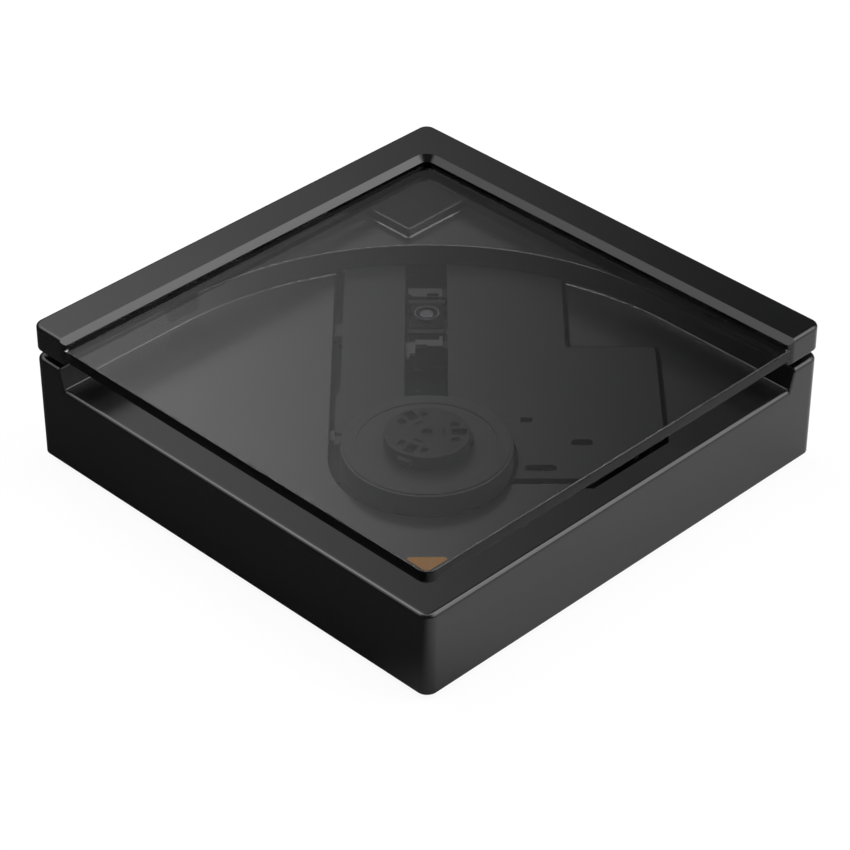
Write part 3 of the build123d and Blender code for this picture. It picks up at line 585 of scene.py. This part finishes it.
def keyFace(name, k, middleY, middleZ, signs):
    # moulded key with a printed sign on its outer face
    paint = Paint(name)
    fine = paint.noise("mouldGrain")
    cloud = paint.noise("keyCloud")
    along = (paint.axis("Y") - middleY) / mm
    up = (paint.axis("Z") - middleZ) / mm
    face = paint.smooth(paint.axis("X"), keyFront - 0.12 * mm, keyFront - 0.04 * mm)
    shapes = [shape(along, up, *sizes) for shape, *sizes in signs]
    sign = sum(shapes[1:], shapes[0]).maths("MINIMUM", 1.0) * face
    return paint.finish(base=paint.mix(sign, paint.mottle(cloud, k["tone"], 0.9, 1.12), k["signTone"]),
                        rough=cloud * 0.05 + sign * 0.1 + k["rough"], specular=k["specular"],
                        normal=paint.bump(fine + sign * 1.5, 0.002 * mm, 0.5))


for name, signs in keys["signs"].items():
    low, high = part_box(name)
    middle = (low + high) / 2
    dress(keyFace(name + "_face", keys, middle.y, middle.z, signs), name)
print("finishes made")


# pieces that stand in for the plain solids of the drive
def addMesh(name, points, faces, material, body, slotName, *stands):
    mesh = bpy.data.meshes.new(name)
    mesh.from_pydata(points, [], faces)
    bm = bmesh.new()
    bm.from_mesh(mesh)
    bmesh.ops.recalc_face_normals(bm, faces=bm.faces)
    bm.to_mesh(mesh)
    bm.free()
    mesh.materials.append(material)
    for face in mesh.polygons:
        face.use_smooth = True
    piece = bpy.data.objects.new(name, mesh)
    bpy.context.scene.collection.objects.link(piece)
    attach(piece, body)
    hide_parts(*stands)


def circle(count):
    return [2 * math.pi * k / count for k in range(count)]


def rings(sections, closed=False):
    # joins rings of equally many points into a skin, with a fan over each open end
    points = [p for section in sections for p in section]
    count = len(sections[0])
    faces = []
    for i in range(len(sections) if closed else len(sections) - 1):
        here, there = i * count, (i + 1) % len(sections) * count
        for j in range(count):
            k = (j + 1) % count
            faces.append((here + j, here + k, there + k, there + j))
    if not closed:
        for start, section in ((0, sections[0]), (len(points) - count, sections[-1])):
            points.append(sum(section, Vector()) / count)
            order = [(start + (j + 1) % count, start + j, len(points) - 1) for j in range(count)]
            faces += order if start == 0 else [face[::-1] for face in order]
    return points, faces


# lead screw of the sled, cut with a 2 mm thread between two plain journals
leadScrew = {
    "pitch": 2 * mm,
    "outer": 1.2 * mm,
    "root": 0.92 * mm,
    "journal": 0.8 * mm,         # radius of the plain ends
    "frontJournal": 2.8 * mm,    # length of each
    "backJournal": 1.7 * mm,
    "step": 0.02 * mm,           # in which a journal turns into thread
    "flank": (2.2, 0.6),         # how steeply the thread rises, and how wide its root is
    "around": 24,
    "perTurn": 16,
}


def makeLeadScrew(s):
    low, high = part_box("lead_screw")
    axis = (low + high) / 2
    end = (high - low).dot(alongDiagonal) / 2 - s["journal"]
    threadStart, threadEnd = s["frontJournal"] - end, end - s["backJournal"]
    length = threadEnd - threadStart
    steps = round(length / s["pitch"] * s["perTurn"])
    stations = [(-end, s["journal"]), (threadStart - s["step"], s["journal"])]
    stations += [(threadStart + length * i / steps, None) for i in range(steps + 1)]
    stations += [(threadEnd + s["step"], s["journal"]), (end, s["journal"])]
    slope, floor = s["flank"]
    sections = []
    for place, fixed in stations:
        ring = []
        for j in range(s["around"]):
            turn = j / s["around"]
            phase = (place / s["pitch"] - turn) % 1
            ridge = min(1, max(0, slope * abs(phase * 2 - 1) - floor))
            radius = fixed or s["root"] + (s["outer"] - s["root"]) * ridge
            angle = turn * 2 * math.pi
            outward = acrossDiagonal * math.cos(angle) + upwards * math.sin(angle)
            ring.append(axis + alongDiagonal * place + outward * radius)
        sections.append(ring)
    addMesh("lead_screw_thread", *rings(sections), materials["plainSteel"], "screw",
            slotOf["lead_screw"], "lead_screw")


# enamelled wire wound on each tooth of the spindle motor
windings = {
    "teeth": 9,
    "firstTooth": -math.pi / 4,
    "turns": 11,
    "first": 6.4 * mm,           # from the spindle to the innermost turn, and to the outermost
    "last": 11.0 * mm,
    "wire": 0.2 * mm,            # radius
    "halfWidth": 1.22 * mm,
    "corner": 0.35 * mm,
    "around": 6,
    "perCorner": 4,
}


def makeWindings(s):
    low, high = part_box("stator_coils")
    middle = Vector((spindle.x, spindle.y, (low.z + high.z) / 2))
    halfHeight = (high.z - low.z) / 2 - s["wire"]
    quarters = ((1, 1), (-1, 1), (-1, -1), (1, -1))
    points, faces = [], []
    for tooth in range(s["teeth"]):
        angle = 2 * math.pi * tooth / s["teeth"] + s["firstTooth"]
        outward = Vector((math.cos(angle), math.sin(angle), 0))
        sideways = Vector((-math.sin(angle), math.cos(angle), 0))
        for turn in range(s["turns"]):
            reach = s["first"] + (s["last"] - s["first"]) * turn / (s["turns"] - 1)
            sections = []
            for quarter, (side, rise) in enumerate(quarters):
                for step in range(s["perCorner"]):
                    bend = math.pi / 2 * (quarter + step / (s["perCorner"] - 1))
                    centre = middle + outward * reach
                    centre += sideways * side * (s["halfWidth"] - s["corner"])
                    centre.z += rise * (halfHeight - s["corner"])
                    normal = sideways * math.cos(bend) + upwards * math.sin(bend)
                    spot = centre + normal * s["corner"]
                    sections.append([
                        spot + (outward * math.sin(a) + normal * math.cos(a)) * s["wire"]
                        for a in circle(s["around"])])
            newPoints, newFaces = rings(sections, closed=True)
            faces += [tuple(len(points) + k for k in face) for face in newFaces]
            points += newPoints
    addMesh("stator_windings", points, faces, materials["coilCopper"], "root",
            slotOf["stator_coils"], "stator_coils")


# small compression spring beside the lens holder
pickupSpring = {
    "turns": 11,
    "even": 1.5,          # turns that are spaced evenly; the rest close up towards the ends
    "wire": 0.07 * mm,    # radius
    "around": 8,
    "perTurn": 14,
}


def makeSpring(s):
    low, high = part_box("pickup_spring")
    middle = (low + high) / 2
    solid = nodes["pickup_spring"]
    corners = [Vector((v.co.x, v.co.y, 0)) + solid.location - middle for v in solid.data.vertices]
    reach = [corner.dot(alongDiagonal) for corner in corners]
    width = [corner.dot(acrossDiagonal) for corner in corners]
    length = max(reach) - min(reach) - 2 * s["wire"]
    radius = min(max(width) - min(width), high.z - low.z) / 2 - s["wire"]
    even = s["even"] / s["turns"]
    steps = s["turns"] * s["perTurn"]
    sections = []
    for i in range(steps + 1):
        share = 0.5 - 0.5 * math.cos(math.pi * i / steps) * (1 - even) - even * (0.5 - i / steps)
        angle = 2 * math.pi * (i / s["perTurn"])
        outward = acrossDiagonal * math.cos(angle) + upwards * math.sin(angle)
        spot = middle + alongDiagonal * (share - 0.5) * length + outward * radius
        sections.append([spot + (outward * math.cos(a) + alongDiagonal * math.sin(a)) * s["wire"]
                         for a in circle(s["around"])])
    addMesh("pickup_coil_spring", *rings(sections), materials["plainSteel"], "sled",
            slotOf["pickup_spring"], "pickup_spring")


makeLeadScrew(leadScrew)
makeWindings(windings)
makeSpring(pickupSpring)
print("drive detailed")


# the floor is partly lit by the lamps and partly white of its own
floorLook = {
    "size": 12.0,
    "cells": 8,
    "tone": (0.95, 0.95, 0.95),
    "glow": 0.93,                 # how much of its white is its own, which thins the shadow
    "gloss": 0.61,                # the same for reflections of the floor
    "shade": (0.4, 0.96),         # how far painted shade darkens reflections, on the lit and on the shaded side
    "shadeEdge": (0.03, -0.02),   # between which of X less Y, in metres, one turns into the other
}


def makeFloor(s):
    mesh = bpy.data.meshes.new("floor")
    bm = bmesh.new()
    bmesh.ops.create_grid(bm, x_segments=s["cells"], y_segments=s["cells"], size=s["size"])
    bm.to_mesh(mesh)
    bm.free()
    floor = bpy.data.objects.new("floor", mesh)
    bpy.context.scene.collection.objects.link(floor)
    paint = Paint("floorWhite")
    path = paint.add("ShaderNodeLightPath")
    glossy = Val(paint.tree, path.outputs["Is Glossy Ray"])
    straight = Val(paint.tree, path.outputs["Is Camera Ray"])
    seen = straight + Val(paint.tree, path.outputs["Is Transmission Ray"])
    # painted shade: the side away from the key lamp reflects darker, as if a black card lay there
    sideways = paint.axis("X") - paint.axis("Y")
    shade = paint.smooth(sideways, *s["shadeEdge"], *s["shade"]) * glossy
    tone = paint.mix(shade, s["tone"], (0, 0, 0))
    matt = paint.add("ShaderNodeBsdfDiffuse", None, {"Color": tone})
    glow = paint.add("ShaderNodeEmission", None, {"Color": (1, 1, 1), "Strength": 1.0})
    amount = seen.maths("MINIMUM", 1.0) * s["glow"] + glossy * (1 - shade) * s["gloss"]
    mesh.materials.append(
        paint.blend(amount.maths("MINIMUM", 1.0), matt.outputs[0], glow.outputs[0]))


# light of the room; azimuths, rises, spreads and widths are in degrees
room = {
    "everywhere": 0.05,
    "leftBox": {"azimuth": (36.5, 57, 140, 172), "rise": (20, 38, 56, 74), "strength": 1.5},
    "spots": {
        "keyBox": {"azimuth": -47.0, "rise": 35.0, "spread": (12, 40), "strength": 2.2},
        "sideBox": {"azimuth": 133.0, "rise": 36.0, "spread": (6, 20), "strength": 0.2},
        "backFill": {"azimuth": -150.0, "rise": 45.0, "spread": (20, 80), "strength": 0.03},
    },
    "tubes": {
        "azimuths": (-10, 100), "lowest": (44, 51), "width": (6, 14), "strength": 4.4,
        "behind": (-0.15, 0.0),    # where each fades out behind its start, as a sine
    },
}


def facing(azimuth, rise):
    azimuth, rise = math.radians(azimuth), math.radians(rise)
    level = math.cos(rise)
    return Vector((math.cos(azimuth) * level, math.sin(azimuth) * level, math.sin(rise)))


def fadedBand(paint, value, edges):
    # rises over the first two edges and falls over the last two
    return (paint.smooth(value, edges[0], edges[1]), paint.smooth(value, edges[3], edges[2]))


def makeRoom(s):
    # a wide box, three spots and two tubes, painted on the room itself so that their edges stay soft
    world = bpy.data.worlds.new("room")
    bpy.context.scene.world = world
    world.use_nodes = True
    paint = Paint("", world.node_tree)
    degrees = 180 / math.pi
    azimuth = paint.axis("Y").maths("ARCTAN2", paint.axis("X")) * degrees
    rise = paint.axis("Z").maths("ARCSINE") * degrees
    box = s["leftBox"]
    left, right = fadedBand(paint, azimuth, box["azimuth"])
    bottom, top = fadedBand(paint, rise, box["rise"])
    light = left * right * bottom * top * box["strength"] + s["everywhere"]
    for spot in s["spots"].values():
        inner, outer = (math.cos(math.radians(edge)) for edge in spot["spread"])
        near = paint.dot(paint.place, facing(spot["azimuth"], spot["rise"]))
        light = light + paint.smooth(near, outer, inner) * spot["strength"]
    # the tubes cross overhead and draw the bright lines along the edges
    tubes = s["tubes"]
    thin, wide = (math.sin(math.radians(edge)) for edge in tubes["width"])
    glow = 0
    for heading in tubes["azimuths"]:
        across = paint.dot(paint.place, facing(heading + 90, 0)).maths("ABSOLUTE")
        band = paint.smooth(across, wide, thin)
        side = paint.smooth(paint.dot(paint.place, facing(heading, 0)), *tubes["behind"])
        glow = (band * side).maths("MAXIMUM", glow)
    light = light + glow * paint.smooth(rise, *tubes["lowest"]) * tubes["strength"]
    background = paint.add("ShaderNodeBackground", None, {"Color": (1, 1, 1), "Strength": light})
    paint.tree.links.new(background.outputs[0], paint.out.inputs["Surface"])


# faint sun that shines from the key box
sunLamp = {"strength": 0.3, "angle": 30.0}


def makeSun(s, box):
    sun = bpy.data.lights.new("sun", "SUN")
    sun.energy = s["strength"]
    sun.angle = math.radians(s["angle"])
    lamp = bpy.data.objects.new("sun", sun)
    bpy.context.scene.collection.objects.link(lamp)
    shining = -facing(box["azimuth"], box["rise"])
    lamp.rotation_euler = shining.to_track_quat("-Z", "Y").to_euler()


makeFloor(floorLook)
makeRoom(room)
makeSun(sunLamp, room["spots"]["keyBox"])
bpy.context.scene.view_settings.view_transform = "Standard"
print("studio lit")
